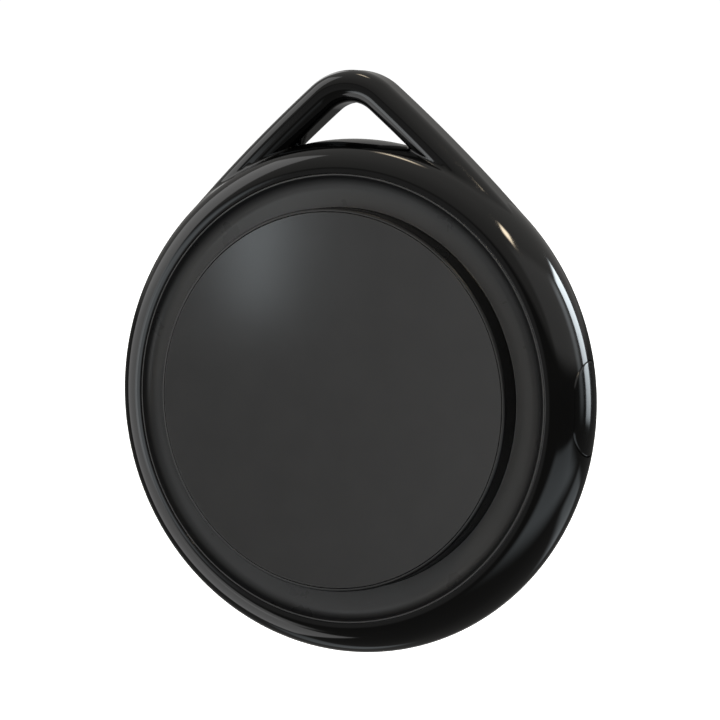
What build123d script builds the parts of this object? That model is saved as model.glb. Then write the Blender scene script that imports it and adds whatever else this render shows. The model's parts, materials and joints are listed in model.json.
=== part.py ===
from build123d import *
import os
from math import asin, cos, pi, radians, sin, sqrt

# Bluetooth tracker tag: a glossy ring-shaped housing with a triangular hanging loop, a satin front insert
# with a raised round face, a side button, and a twist-off battery door in the rear cover.
#
# Every piece is drawn lying on its back: X is to the wearer's right, Y points towards the loop, and Z is the
# height in front of the back face. stand_up() then turns it to the finished frame, in which +Z points
# towards the loop, the front looks along -Y and the origin is the centre of the back face. All in mm.

# Housing rim: two arcs a side, tangent to each other, mirrored about the middle height
RIM_R = 19.0
MID_H = 4.13
SIDE_ARC_R = 3.74
SHOULDER_ARC_R = 2.0
SHOULDER_ANGLE = radians(31)
LIP_R = 16.45
BORE_R = 15.6
FRONT_LEDGE_H = 5.4
REAR_LEDGE_H = 2.12

# Loop: a bar of one rounded section, whose outer side follows a root circle inside the rim, a slightly
# bowed leg and a round tip, met at the given angles of their normals
LOOP_DEPTH = 3.4
LOOP_WIDTH = 2.36
LOOP_EDGE_R = 1.05
LOOP_ROOT_R = 18.9
LOOP_FOOT_ANGLE = radians(30)
LOOP_ROOT_ANGLE = radians(43.8)
LOOP_TIP_ANGLE = radians(50.4)
LOOP_TIP_R = 4.85

# Front insert and its face
FACE_H = 8.26
FACE_R = 13.68
FACE_T = 0.6
FACE_POCKET_R = 13.74
BOSS_R = 13.97
BOSS_EDGE_R = 0.23
BOSS_BORE_R = 12.75
POCKET_FLOOR_H = 7.56
CEILING_H = 6.7
TROUGH_H = 6.32
TROUGH_R = 15.2
LIP_H = 6.99
FIT = 0.03

# Rear cover, battery door and seal. The door's lid hides the notches that its lugs leave through.
PLATEAU_R = 15.0
PLATEAU_EDGE_R = 0.7
REAR_STEP_H = 1.26
COVER_WALL_R = 13.9
COVER_T = 1.15
LID_SEAT_R = 12.96
LID_SEAT_H = 0.6
FLANGE_R = 12.0
NOTCH_R = 12.8
NOTCH_HALF_ANGLE = 12
LID_R = 12.9
LID_T = 0.55
DOOR_R = 11.9
DOOR_T = 0.95
SKIRT_BORE_R = 11.0
SKIRT_H = 1.65
LUG_R = 12.7
LUG_H = 1.2
LUG_HALF_ANGLE = 10
LUG_ANGLES = (30, 150, 270)
DOOR_TURN = 30
SEAL_R = 12.78
SEAL_WIRE_R = 0.16
SEAL_H = 0.29
GRIP_R = (8.3, 10.1)
GRIP_HALF_ANGLE = 27
GRIP_DEPTH = 0.45
MARK_R = 0.35
MARK_DEPTH = 0.15

# Side button and the switch behind it, on the +X side
BUTTON_L = 6.8
BUTTON_W = 4.0
BUTTON_GAP = 0.07
BUTTON_TRAVEL = 0.3
CAP_FLOOR_X = 17.25
SHOULDER_X = 16.9
EAR_X = 16.35
EAR_T = 0.5
EAR_L = 8.6
EAR_W = 2.0
EAR_GAP = 0.1
NECK_L = 6.0
STEM_R = 0.6
STEM_END_X = 15.53
BUTTON_SEAL_X = (15.62, 15.98)
BUTTON_SEAL_BORE_R = 0.7
SWITCH_X = (12.6, 15.0)
SWITCH_L = 4.5
SWITCH_H = (2.9, 4.5)
PLUNGER_X = (14.4, 15.5)
PLUNGER_L = 1.8
PLUNGER_H = (3.3, 4.1)
PLUNGER_GAP = 0.05

SWITCH_ROOM = 0.1

# Circuit board, battery cradle and screws
BOARD_R = 14.6
BOARD_H = (4.5, 5.3)
CRADLE_R = 15.4
CRADLE_BORE_R = 10.25
CRADLE_FOOT_R = 13.75
CRADLE_H = (1.75, 4.48)
SCREW_CIRCLE_R = 11.6
SCREW_ANGLES = (60, 180, 300)
SCREW_R = 0.5
SCREW_HEAD_R = 0.9
SCREW_HEAD_H = (1.8, 2.2)
SCREW_TIP_H = 6.3
SCREW_HOLE_GAP = 0.09
SOCKET_R = 0.45
SOCKET_DEPTH = 0.25
POST_R = 1.25

# What stands on the front of the board: centre x and y, size in x and y, and height
SHIELD_CAN = (-2.0, -4.0, 7.6, 7.0, 0.95)
SHIELD_WALL = 0.15
RADIO_CHIP = (-2.0, -4.0, 4.0, 4.0, 0.6)
CHIP_ANTENNA = (-1.0, 10.6, 6.5, 2.2, 1.0)
MAIN_CRYSTAL = (-8.0, -1.5, 1.6, 2.0, 0.5)
CLOCK_CRYSTAL = (-8.2, -5.2, 1.5, 3.2, 0.75)
PASSIVE_SIZE = (0.5, 1.0, 0.5)
PASSIVE_PITCH = 1.5
PASSIVE_COLUMN_X = (3.2, 4.3)
PASSIVE_COLUMN_Y = -7.0
PASSIVES_A_COLUMN = 5
PASSIVE_ROW_X = -6.0
PASSIVE_ROW_Y = 8.2
PASSIVES_A_ROW = 4

# Coin cell, 20 mm across and 3.2 mm thick
CELL_R = 10.0
CELL_H = (1.0, 4.2)
CELL_SKIN = 0.25
CELL_CAP_R = 8.8
CELL_CAP_FOOT_H = 2.2
CELL_SHOULDER_H = 3.95
CELL_CHAMFER = 0.1

# Contacts: a strip at the cell's side, a leaf under its middle, and two leaves to the sounder
TOUCH_GAP = 0.01
CONTACT_ANGLE = 120
CONTACT_HALF_ANGLE = 10
CONTACT_ROOM_R = 0.3
CONTACT_ROOM_ANGLE = 3
CONTACT_FOOT_R = 11.4
CONTACT_LOW_H = 2.0
CONTACT_T = 0.15
LEAF_T = 0.12
LEAF_ENDS_X = 4.0
LEAF_KNEE_X = 3.0
LEAF_MIDDLE_X = 1.0
LEAF_W = 3.0
SPRING_ENDS_X = 1.0
SPRING_BEND_X = 0.8
SPRING_W = 1.0
SPRING_Y = 4.4
CERAMIC_SPRING_X = 2.0
PLATE_SPRING_X = 5.0

# Sounder, bonded under the face
PIEZO_R = 7.5
PIEZO_H = (6.5, 6.7)
CERAMIC_R = 5.5
CERAMIC_H = 6.4


def disc(radius, low, high):
    return Pos(0, 0, low) * extrude(Circle(radius), high - low)


def ring(outer, inner, low, high):
    return disc(outer, low, high) - disc(inner, low, high)


def block(x_span, y_centre, length, z_span):
    """A box from x_span[0] to x_span[1], length long in Y about y_centre, and z_span high."""
    size = (x_span[1] - x_span[0], length, z_span[1] - z_span[0])
    return Pos(sum(x_span) / 2, y_centre, sum(z_span) / 2) * Box(*size)


def chip(x, y, size_x, size_y, height):
    """A block that stands on the front of the board."""
    return block((x - size_x / 2, x + size_x / 2), y, size_y, (BOARD_H[1], BOARD_H[1] + height))


def sector(outer, inner, centre_angle, half_angle, low, high):
    """A piece of a ring, centred on an angle in degrees from +X."""
    corners = [polar(2 * outer, centre_angle + a) for a in (-half_angle, 0, half_angle)]
    wedge = Polygon((0, 0), *corners, align=None)
    return ring(outer, inner, low, high) & Pos(0, 0, low) * extrude(wedge, high - low)


def polar(radius, degrees):
    return (radius * cos(radians(degrees)), radius * sin(radians(degrees)))


def arc(centre, radius, start, end):
    """An arc about centre, between two angles in radians."""
    points = [(centre[0] + radius * cos(a), centre[1] + radius * sin(a))
              for a in (start, (start + end) / 2, end)]
    return ThreePointArc(*points)


def turned(*edges):
    """The solid that a closed outline of (radius, height) edges sweeps about the Z axis."""
    return revolve(Plane.XZ * make_face(Wire(list(edges))), Axis.Z)


def lines(*points):
    return [Line(a, b) for a, b in zip(points, points[1:])]


def rim_edges():
    """The rim's outer profile, from the front lip round to the back lip, with its two end points."""
    side = (RIM_R - SIDE_ARC_R, MID_H)
    reach = SIDE_ARC_R - SHOULDER_ARC_R
    front = (side[0] + reach * cos(SHOULDER_ANGLE), MID_H + reach * sin(SHOULDER_ANGLE))
    back = (front[0], 2 * MID_H - front[1])
    lip = pi / 2 + asin((front[0] - LIP_R) / SHOULDER_ARC_R)
    edges = [arc(front, SHOULDER_ARC_R, lip, SHOULDER_ANGLE),
             arc(side, SIDE_ARC_R, SHOULDER_ANGLE, -SHOULDER_ANGLE),
             arc(back, SHOULDER_ARC_R, -SHOULDER_ANGLE, -lip)]
    lip_h = front[1] + sqrt(SHOULDER_ARC_R**2 - (front[0] - LIP_R) ** 2)
    return edges, (LIP_R, lip_h), (LIP_R, 2 * MID_H - lip_h)


def loop_half_path():
    """The right half of the bar's centre line, from its foot inside the rim up to the tip. The leg's radius
    is the one that brings the tip to the middle plane."""
    root_r = LOOP_ROOT_R - LOOP_WIDTH / 2
    tip_r = LOOP_TIP_R - LOOP_WIDTH / 2
    root, tip = LOOP_ROOT_ANGLE, LOOP_TIP_ANGLE
    leg_r = (root_r * cos(root) - tip_r * cos(tip)) / (cos(root) - cos(tip))
    leg_centre = ((root_r - leg_r) * cos(root), (root_r - leg_r) * sin(root))
    tip_centre = (0, leg_centre[1] + (leg_r - tip_r) * sin(tip))
    return [arc((0, 0), root_r, LOOP_FOOT_ANGLE, root), arc(leg_centre, leg_r, root, tip),
            arc(tip_centre, tip_r, tip, pi / 2)]


def make_loop():
    half = loop_half_path()
    path = Wire(half + [edge.mirror(Plane.YZ) for edge in reversed(half)])
    outward = (cos(LOOP_FOOT_ANGLE), sin(LOOP_FOOT_ANGLE), 0)
    along = (-sin(LOOP_FOOT_ANGLE), cos(LOOP_FOOT_ANGLE), 0)
    foot = Plane(origin=half[0] @ 0, x_dir=outward, z_dir=along)
    bar = sweep(foot * RectangleRounded(LOOP_WIDTH, LOOP_DEPTH, LOOP_EDGE_R), path=path)
    return Pos(0, 0, MID_H) * bar


def button_prism(clearance, x_from, x_to):
    """The button's stadium outline, grown by a clearance, as a prism along X."""
    outline = Plane.YZ.offset(x_from) * SlotOverall(BUTTON_L + 2 * clearance, BUTTON_W + 2 * clearance)
    return Pos(0, 0, MID_H) * extrude(outline, x_to - x_from, dir=(1, 0, 0))


def x_rod(radius, x_from, x_to, height):
    return Pos(0, 0, height) * extrude(Plane.YZ.offset(x_from) * Circle(radius), x_to - x_from, dir=(1, 0, 0))


def centred(height, width):
    return (height - width / 2, height + width / 2)


def make_housing():
    edges, front_lip, back_lip = rim_edges()
    rim = turned(*edges, *lines(back_lip, (LIP_R, REAR_LEDGE_H), (BORE_R, REAR_LEDGE_H),
                                (BORE_R, FRONT_LEDGE_H), (LIP_R, FRONT_LEDGE_H), front_lip))
    ear_room = block((BORE_R - 1, SHOULDER_X), 0, EAR_L + 2 * EAR_GAP, centred(MID_H, EAR_W + EAR_GAP))
    return rim + make_loop() - button_prism(BUTTON_GAP, SHOULDER_X, RIM_R + 1) - ear_room


def make_side_button():
    """A cap flush with the rim, a neck, two ears that stop it falling out, and a stem for the switch."""
    edges, front_lip, back_lip = rim_edges()
    rim = turned(*edges, *lines(back_lip, (BORE_R, back_lip[1]), (BORE_R, front_lip[1]), front_lip))
    cap = button_prism(0, CAP_FLOOR_X, RIM_R + 1) & rim
    neck = block((EAR_X, CAP_FLOOR_X), 0, NECK_L, centred(MID_H, EAR_W))
    ears = block((EAR_X, EAR_X + EAR_T), 0, EAR_L, centred(MID_H, EAR_W))
    return cap + neck + ears + x_rod(STEM_R, STEM_END_X, EAR_X, MID_H)


def make_button_seal():
    seal = block(BUTTON_SEAL_X, 0, EAR_L, centred(MID_H, EAR_W))
    return seal - x_rod(BUTTON_SEAL_BORE_R, BUTTON_SEAL_X[0], BUTTON_SEAL_X[1], MID_H)


def make_switch_body():
    pocket_x = (PLUNGER_X[0] - BUTTON_TRAVEL - PLUNGER_GAP, SWITCH_X[1])
    pocket_h = (PLUNGER_H[0] - PLUNGER_GAP, PLUNGER_H[1] + PLUNGER_GAP)
    body = block(SWITCH_X, 0, SWITCH_L, SWITCH_H)
    return body - block(pocket_x, 0, PLUNGER_L + 2 * PLUNGER_GAP, pocket_h)


def make_switch_plunger():
    return block(PLUNGER_X, 0, PLUNGER_L, PLUNGER_H)


def make_front_insert():
    """The raised boss, the trough round it and the cove that rises to the lip, with three screw posts."""
    edge_r = LIP_R - FIT
    cove_h = LIP_H - TROUGH_H
    cove_r = ((edge_r - TROUGH_R) ** 2 + cove_h**2) / (2 * cove_h)
    cove = arc((TROUGH_R, TROUGH_H + cove_r), cove_r, asin((edge_r - TROUGH_R) / cove_r) - pi / 2, -pi / 2)
    boss_edge = arc((BOSS_R - BOSS_EDGE_R, FACE_H - BOSS_EDGE_R), BOSS_EDGE_R, 0, pi / 2)
    low = FRONT_LEDGE_H + FIT
    shell = turned(
        *lines((0, CEILING_H), (BOSS_BORE_R, CEILING_H), (BOSS_BORE_R, low), (edge_r, low), (edge_r, LIP_H)),
        cove,
        *lines((TROUGH_R, TROUGH_H), (BOSS_R, TROUGH_H), (BOSS_R, FACE_H - BOSS_EDGE_R)),
        boss_edge,
        *lines((FACE_POCKET_R, FACE_H), (FACE_POCKET_R, POCKET_FLOOR_H), (0, POCKET_FLOOR_H), (0, CEILING_H)))
    for angle in SCREW_ANGLES:
        place = Pos(*polar(SCREW_CIRCLE_R, angle))
        shell = shell + place * disc(POST_R, BOARD_H[1] + FIT, CEILING_H)
        shell = shell - place * disc(SCREW_R + FIT / 2, BOARD_H[1], SCREW_TIP_H + FIT)
    return shell


def make_face_disc():
    face = disc(FACE_R, FACE_H - FACE_T, FACE_H)
    return chamfer(face.edges().group_by(Axis.Z)[-1], FIT)


def make_face_adhesive():
    return disc(FACE_R, POCKET_FLOOR_H, FACE_H - FACE_T)


def make_rear_cover():
    """A dish with a raised plateau and a stepped round opening, whose flange holds the door's lugs."""
    shoulder = arc((PLATEAU_R - PLATEAU_EDGE_R, PLATEAU_EDGE_R), PLATEAU_EDGE_R, -pi / 2, 0)
    edge_r = LIP_R - FIT
    top = REAR_LEDGE_H - FIT
    cover = turned(
        *lines((LID_SEAT_R, 0), (PLATEAU_R - PLATEAU_EDGE_R, 0)),
        shoulder,
        *lines((PLATEAU_R, PLATEAU_EDGE_R), (PLATEAU_R, REAR_STEP_H), (edge_r, REAR_STEP_H), (edge_r, top),
               (COVER_WALL_R, top), (COVER_WALL_R, COVER_T), (FLANGE_R, COVER_T), (FLANGE_R, LID_SEAT_H),
               (LID_SEAT_R, LID_SEAT_H), (LID_SEAT_R, 0)))
    for angle in LUG_ANGLES:
        notch = sector(NOTCH_R, FLANGE_R - 1, angle - DOOR_TURN, NOTCH_HALF_ANGLE, LID_SEAT_H, COVER_T)
        cover = cover - notch
    for angle in (90, 90 - DOOR_TURN):
        place = Pos(*polar((LID_SEAT_R + PLATEAU_R - PLATEAU_EDGE_R) / 2, angle))
        cover = cover - place * disc(MARK_R, 0, MARK_DEPTH)
    return cover


def make_battery_door():
    """A lid with two finger grips and an index mark, and a skirt with three locking lugs."""
    door = disc(LID_R, 0, LID_T) + disc(DOOR_R, 0, DOOR_T) + ring(DOOR_R, SKIRT_BORE_R, DOOR_T, SKIRT_H)
    for angle in LUG_ANGLES:
        door = door + sector(LUG_R, SKIRT_BORE_R, angle, LUG_HALF_ANGLE, LUG_H, SKIRT_H)
    groove = SEAL_WIRE_R + FIT
    door = door - ring(LID_R + 1, SEAL_R - groove, SEAL_H - groove, SEAL_H + groove)
    for angle in (0, 180):
        door = door - sector(GRIP_R[1], GRIP_R[0], angle, GRIP_HALF_ANGLE, 0, GRIP_DEPTH)
    return door - Pos(0, LID_R - 3 * MARK_R) * disc(MARK_R, 0, MARK_DEPTH)


def make_door_seal():
    return Pos(0, 0, SEAL_H) * Torus(SEAL_R, SEAL_WIRE_R)


def make_battery_cradle():
    """The ring that holds the cell and backs the board, cut away for the switch, contact and screws."""
    cradle = ring(CRADLE_R, CRADLE_BORE_R, REAR_LEDGE_H, CRADLE_H[1])
    cradle = cradle + ring(CRADLE_FOOT_R, CRADLE_BORE_R, CRADLE_H[0], REAR_LEDGE_H)
    switch_room = ((SWITCH_X[0] - SWITCH_ROOM, RIM_R), 0, SWITCH_L + 2 * SWITCH_ROOM,
                   (SWITCH_H[0] - SWITCH_ROOM, BOARD_H[0]))
    cradle = cradle - block(*switch_room)
    cradle = cradle - sector(CONTACT_FOOT_R + CONTACT_ROOM_R, CRADLE_BORE_R - 1, CONTACT_ANGLE,
                             CONTACT_HALF_ANGLE + CONTACT_ROOM_ANGLE, CRADLE_H[0], BOARD_H[0])
    for angle in SCREW_ANGLES:
        place = Pos(*polar(SCREW_CIRCLE_R, angle))
        cradle = cradle - place * disc(SCREW_R + FIT, CRADLE_H[0], CRADLE_H[1])
        cradle = cradle - place * disc(SCREW_HEAD_R + FIT, CRADLE_H[0], SCREW_HEAD_H[1])
    return cradle


def make_circuit_board():
    board = disc(BOARD_R, *BOARD_H)
    for angle in SCREW_ANGLES:
        board = board - Pos(*polar(SCREW_CIRCLE_R, angle)) * disc(SCREW_R + SCREW_HOLE_GAP, *BOARD_H)
    return board


def make_frame_screws():
    """Three identical screws, from the cradle through the board into the insert's posts."""
    socket = extrude(RegularPolygon(SOCKET_R, 6), SOCKET_DEPTH)
    screw = disc(SCREW_HEAD_R, *SCREW_HEAD_H) + disc(SCREW_R, SCREW_HEAD_H[1], SCREW_TIP_H)
    screw = screw - Pos(0, 0, SCREW_HEAD_H[0]) * socket
    return Compound([Pos(*polar(SCREW_CIRCLE_R, angle)) * screw for angle in SCREW_ANGLES])


def make_shield_can():
    x, y, size_x, size_y, height = SHIELD_CAN
    inside = chip(x, y, size_x - 2 * SHIELD_WALL, size_y - 2 * SHIELD_WALL, height - SHIELD_WALL)
    return chip(*SHIELD_CAN) - inside


def make_passive_parts():
    """Capacitors and resistors, in two columns beside the shield and a row by the aerial."""
    size_x, size_y, height = PASSIVE_SIZE
    places = [(x, PASSIVE_COLUMN_Y + PASSIVE_PITCH * step) for x in PASSIVE_COLUMN_X
              for step in range(PASSIVES_A_COLUMN)]
    places += [(PASSIVE_ROW_X + PASSIVE_PITCH * step, PASSIVE_ROW_Y) for step in range(PASSIVES_A_ROW)]
    return Compound([chip(x, y, size_x, size_y, height) for x, y in places])


def make_piezo_ceramic():
    return disc(CERAMIC_R, CERAMIC_H, PIEZO_H[0])


def make_buzzer_springs():
    """Two Z-shaped leaves from the board up to the sounder: one to the ceramic, one to the plate's rim."""
    springs = []
    low, end, bend, t = BOARD_H[1], SPRING_ENDS_X, SPRING_BEND_X, LEAF_T
    for x, high in ((CERAMIC_SPRING_X, CERAMIC_H - TOUCH_GAP), (PLATE_SPRING_X, PIEZO_H[0] - TOUCH_GAP)):
        foot = [(-end, low), (end, low), (end, low + t), (-bend, low + t)]
        head = [(bend, high - t), (bend, high), (-bend, high), (-bend, high - t), (bend - 2 * t, high - t)]
        outline = Polygon(*foot, *head, (-end, low + t), align=None)
        springs.append(Pos(x, SPRING_Y, 0) * extrude(Plane.XZ * outline, SPRING_W / 2, both=True))
    return Compound(springs)


def make_negative_contact():
    """A leaf under the board that bows down to the middle of the cell."""
    high, low, t = BOARD_H[0] - TOUCH_GAP, CELL_H[1] + TOUCH_GAP, LEAF_T
    end, knee, middle = LEAF_ENDS_X, LEAF_KNEE_X, LEAF_MIDDLE_X
    right = [(middle, low), (knee, high - t), (end, high - t)]
    lower = [(-x, h) for x, h in reversed(right)] + right
    upper = [(x, h + t) for x, h in reversed(lower)]
    return extrude(Plane.XZ * Polygon(*lower, *upper, align=None), LEAF_W / 2, both=True)


def make_positive_contact():
    """A strip that hugs the side of the cell, with a foot under the board."""
    inner = CELL_R + FIT
    high = BOARD_H[0] - TOUCH_GAP
    strip = sector(inner + CONTACT_T, inner, CONTACT_ANGLE, CONTACT_HALF_ANGLE, CONTACT_LOW_H, high)
    foot = sector(CONTACT_FOOT_R, inner, CONTACT_ANGLE, CONTACT_HALF_ANGLE, high - CONTACT_T, high)
    return strip + foot


def make_cell_can():
    low, shoulder = CELL_H[0], CELL_SHOULDER_H
    cup = disc(CELL_R, low, shoulder) - disc(CELL_R - CELL_SKIN, low + CELL_SKIN, shoulder)
    return chamfer(cup.edges().group_by(Axis.Z)[0], CELL_CHAMFER)


def make_cell_cap():
    foot, top = CELL_CAP_FOOT_H, CELL_H[1]
    cup = disc(CELL_CAP_R, foot, top) - disc(CELL_CAP_R - CELL_SKIN, foot, top - CELL_SKIN)
    return chamfer(cup.edges().group_by(Axis.Z)[-1], CELL_CHAMFER)


def make_cell_gasket():
    low = CELL_H[0] + CELL_SKIN
    gasket = ring(CELL_R - CELL_SKIN, CELL_CAP_R, low, CELL_SHOULDER_H)
    return gasket + ring(CELL_R - CELL_SKIN, CELL_CAP_R - CELL_SKIN, low, CELL_CAP_FOOT_H)


def make_cell_core():
    low = CELL_H[0] + CELL_SKIN
    return disc(CELL_CAP_R - CELL_SKIN, low, CELL_H[1] - CELL_SKIN)


def stand_up(shape):
    return Rot(90, 0, 0) * shape


PIECES = {
    "housing": make_housing,
    "front_insert": make_front_insert,
    "face_disc": make_face_disc,
    "face_adhesive": make_face_adhesive,
    "rear_cover": make_rear_cover,
    "battery_door": make_battery_door,
    "door_seal": make_door_seal,
    "side_button": make_side_button,
    "button_seal": make_button_seal,
    "switch_body": make_switch_body,
    "switch_plunger": make_switch_plunger,
    "battery_cradle": make_battery_cradle,
    "circuit_board": make_circuit_board,
    "frame_screws": make_frame_screws,
    "shield_can": make_shield_can,
    "radio_chip": lambda: chip(*RADIO_CHIP),
    "chip_antenna": lambda: chip(*CHIP_ANTENNA),
    "main_crystal": lambda: chip(*MAIN_CRYSTAL),
    "clock_crystal": lambda: chip(*CLOCK_CRYSTAL),
    "passive_parts": make_passive_parts,
    "piezo_plate": lambda: disc(PIEZO_R, *PIEZO_H),
    "piezo_ceramic": make_piezo_ceramic,
    "buzzer_springs": make_buzzer_springs,
    "negative_contact": make_negative_contact,
    "positive_contact": make_positive_contact,
    "coin_cell_can": make_cell_can,
    "coin_cell_cap": make_cell_cap,
    "coin_cell_gasket": make_cell_gasket,
    "coin_cell_core": make_cell_core,
}

os.makedirs("parts", exist_ok=True)
for name, make in PIECES.items():
    export_step(stand_up(make()), f"parts/{name}.step")
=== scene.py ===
import json
from math import asin, atan2, ceil, cos, hypot, pi, radians, sin, sqrt, tan

import bmesh
import bpy
import numpy as np
from mathutils import Matrix, Vector

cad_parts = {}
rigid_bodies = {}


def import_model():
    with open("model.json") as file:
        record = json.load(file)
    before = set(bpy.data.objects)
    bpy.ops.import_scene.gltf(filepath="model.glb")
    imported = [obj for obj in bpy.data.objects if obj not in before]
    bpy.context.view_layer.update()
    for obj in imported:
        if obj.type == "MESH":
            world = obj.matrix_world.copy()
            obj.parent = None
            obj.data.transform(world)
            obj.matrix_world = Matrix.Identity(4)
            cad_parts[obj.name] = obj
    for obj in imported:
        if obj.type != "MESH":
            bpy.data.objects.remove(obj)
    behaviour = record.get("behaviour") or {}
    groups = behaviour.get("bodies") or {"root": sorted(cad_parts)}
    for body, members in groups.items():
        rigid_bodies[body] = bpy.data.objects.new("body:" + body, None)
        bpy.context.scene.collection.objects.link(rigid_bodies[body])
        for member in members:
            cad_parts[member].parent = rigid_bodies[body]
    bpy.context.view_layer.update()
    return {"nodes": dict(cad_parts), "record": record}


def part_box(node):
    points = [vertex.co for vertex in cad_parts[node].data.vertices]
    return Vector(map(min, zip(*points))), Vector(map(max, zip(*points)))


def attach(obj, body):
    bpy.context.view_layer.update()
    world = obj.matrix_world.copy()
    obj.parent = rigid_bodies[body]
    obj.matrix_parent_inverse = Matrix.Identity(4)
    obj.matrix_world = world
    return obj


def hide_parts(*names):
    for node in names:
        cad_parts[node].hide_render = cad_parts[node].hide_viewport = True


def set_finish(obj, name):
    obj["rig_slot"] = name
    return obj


# A glossy black tracker tag on a pale floor under studio softboxes. Lengths are metres, and MM turns
# millimetres into them. The tag stands upright: X is to its right, Z towards its loop, and its front looks
# along -Y. Profiles are (radius, height) pairs, where height is the distance in front of the back face, so
# that y = -height.
MM = 0.001

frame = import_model()


def box_size(node, axis):
    """A CAD node's size along an axis."""
    low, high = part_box(node)
    return high[axis] - low[axis]


# Driving sizes, read from the frame
RIM_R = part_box("side_button")[1].x
MID_H = -(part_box("housing")[0].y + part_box("housing")[1].y) / 2
INSERT_R = box_size("front_insert", 0) / 2
FACE_R = box_size("face_disc", 0) / 2
FACE_H = -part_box("face_disc")[0].y

# Mesh making: an arc's step, a lathe's steps round, and the least angle of a sharp edge in degrees
STEP = 0.12 * MM
ROUND_STEPS = 768
SHARP = 30
SUPPORTED_RUN = 0.2 * MM
SUPPORT_REACH = 0.01 * MM
SLIGHT_BEND = radians(2)
FINE_RING = 0.06 * MM
COARSE_RING = 0.4 * MM
DENSE_MARGIN = 0.1 * MM
OVERCUT = 1 * MM
TINY = 1e-9
WELD = 1e-7
FAR_AWAY = 1.0

# Rim profile
SIDE_ARC_R = 3.74 * MM
SHOULDER_ARC_R = 2.0 * MM
SHOULDER_ANGLE = radians(31)
LIP_GAP = 0.03 * MM
LIP_EDGE_R = 0.05 * MM
LIP_R = INSERT_R + LIP_GAP
BORE_R = 15.6 * MM
FRONT_LEDGE_H = 5.4 * MM
REAR_LEDGE_H = 2.12 * MM

# Loop bar: its centre line is arcs whose normals meet at these angles
LOOP_DEPTH = 3.4 * MM
LOOP_WIDTH = 2.36 * MM
LOOP_EDGE_R = 1.05 * MM
LOOP_FOOT = radians(30)
LOOP_ROOT = radians(43.8)
LOOP_TIP = radians(50.4)
LOOP_ROOT_R = 18.9 * MM - LOOP_WIDTH / 2
LOOP_TIP_R = 4.85 * MM - LOOP_WIDTH / 2

# The fillet where the loop leaves the rim. It grows between two angles from +X, and is full where the two
# surfaces' normals have a cosine of 1 - FULL_CROSSING or less.
FILLET = 0.16 * MM
FILLET_FROM = radians(40)
FILLET_FULL = radians(54)
FULL_CROSSING = 0.2
FILLET_PASSES = 4
LEAST_SLOPE = 0.25

# How near a point lies to a surface to count as on it, and how alike two normals are, as a cosine
ON_SURFACE = 2e-6
SLOPE_REACH = 2e-6
SAME_WAY = 0.8

# Button
BUTTON_L = 6.8 * MM
BUTTON_W = 4.0 * MM
BUTTON_GAP = 0.07 * MM
BUTTON_EDGE_R = 0.1 * MM
STRAIGHT_STEPS = 18
CAP_EDGE_RINGS = 7
CAP_CROWN_RINGS = 14
CAP_SHARP = 40
CAP_FLOOR_X = 17.25 * MM
SHOULDER_X = 16.9 * MM
EAR_X = 16.35 * MM
EAR_T = 0.5 * MM
EAR_L = 8.6 * MM
EAR_W = 2.0 * MM
EAR_GAP = 0.1 * MM
NECK_L = 6.0 * MM
NECK_OVERLAP = 0.1 * MM
STEM_R = 0.6 * MM
STEM_SIDES = 32
STEM_END_X = 15.53 * MM

# Front insert and face
FACE_T = 0.6 * MM
FACE_EDGE_R = 0.04 * MM
FACE_RINGS = 40
POCKET_RINGS = 8
FACE_POCKET_R = 13.74 * MM
BOSS_R = 13.97 * MM
BOSS_EDGE_R = 0.23 * MM
BOSS_BORE_R = 12.75 * MM
ROOT_R = 0.1 * MM
POCKET_FLOOR_H = 7.56 * MM
CEILING_H = 6.7 * MM
TROUGH_H = 6.32 * MM
TROUGH_R = 15.2 * MM
LIP_H = 6.99 * MM
LIP_LAND = 0.1 * MM
LAND_EDGE_R = 0.03 * MM

# Rear cover
PLATEAU_R = 15.0 * MM
PLATEAU_EDGE_R = 0.7 * MM
REAR_STEP_H = 1.26 * MM
COVER_WALL_R = 13.9 * MM
COVER_T = 1.15 * MM
LID_SEAT_R = 12.96 * MM
LID_SEAT_H = 0.6 * MM
FLANGE_R = 12.0 * MM
NOTCH_R = 12.8 * MM
NOTCH_HALF_ANGLE = radians(12)
NOTCH_OVERCUT = 0.05 * MM
COVER_EDGE_R = 0.08 * MM

# Battery door and its seal
DOOR_NOW = radians(90)
DOOR_TURN = radians(30)
LID_R = 12.9 * MM
LID_T = 0.55 * MM
LID_EDGE_R = 0.08 * MM
DOOR_R = 11.9 * MM
DOOR_T = 0.95 * MM
SKIRT_BORE_R = 11.0 * MM
SKIRT_H = 1.65 * MM
LUG_R = 12.7 * MM
LUG_H = 1.2 * MM
LUG_HALF_ANGLE = radians(10)
LUG_ANGLES = [radians(a) for a in (30, 150, 270)]
SEAL_R = 12.78 * MM
SEAL_WIRE_R = 0.16 * MM
SEAL_H = 0.29 * MM
SEAL_GAP = 0.03 * MM
GRIP_R = (8.3 * MM, 10.1 * MM)
GRIP_HALF_ANGLE = radians(27)
GRIP_DEPTH = 0.45 * MM
GRIP_CORNER_R = 0.5 * MM
GRIP_WALL = 0.42 * MM
MARK_R = 0.35 * MM
MARK_DEPTH = 0.15 * MM
MARK_WALL = 0.3 * MM

# Camera, its angles in degrees
CAMERA_TARGET = Vector((-0.97, -1.01, 2.46)) * MM
CAMERA_DISTANCE = 202.5 * MM
CAMERA_AZIMUTH = 26.1
CAMERA_ELEVATION = 4.4
CAMERA_ROLL = 0.48
CAMERA_LENS = 135.0
CAMERA_SENSOR = 36
CAMERA_NEAR = 0.01

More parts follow.
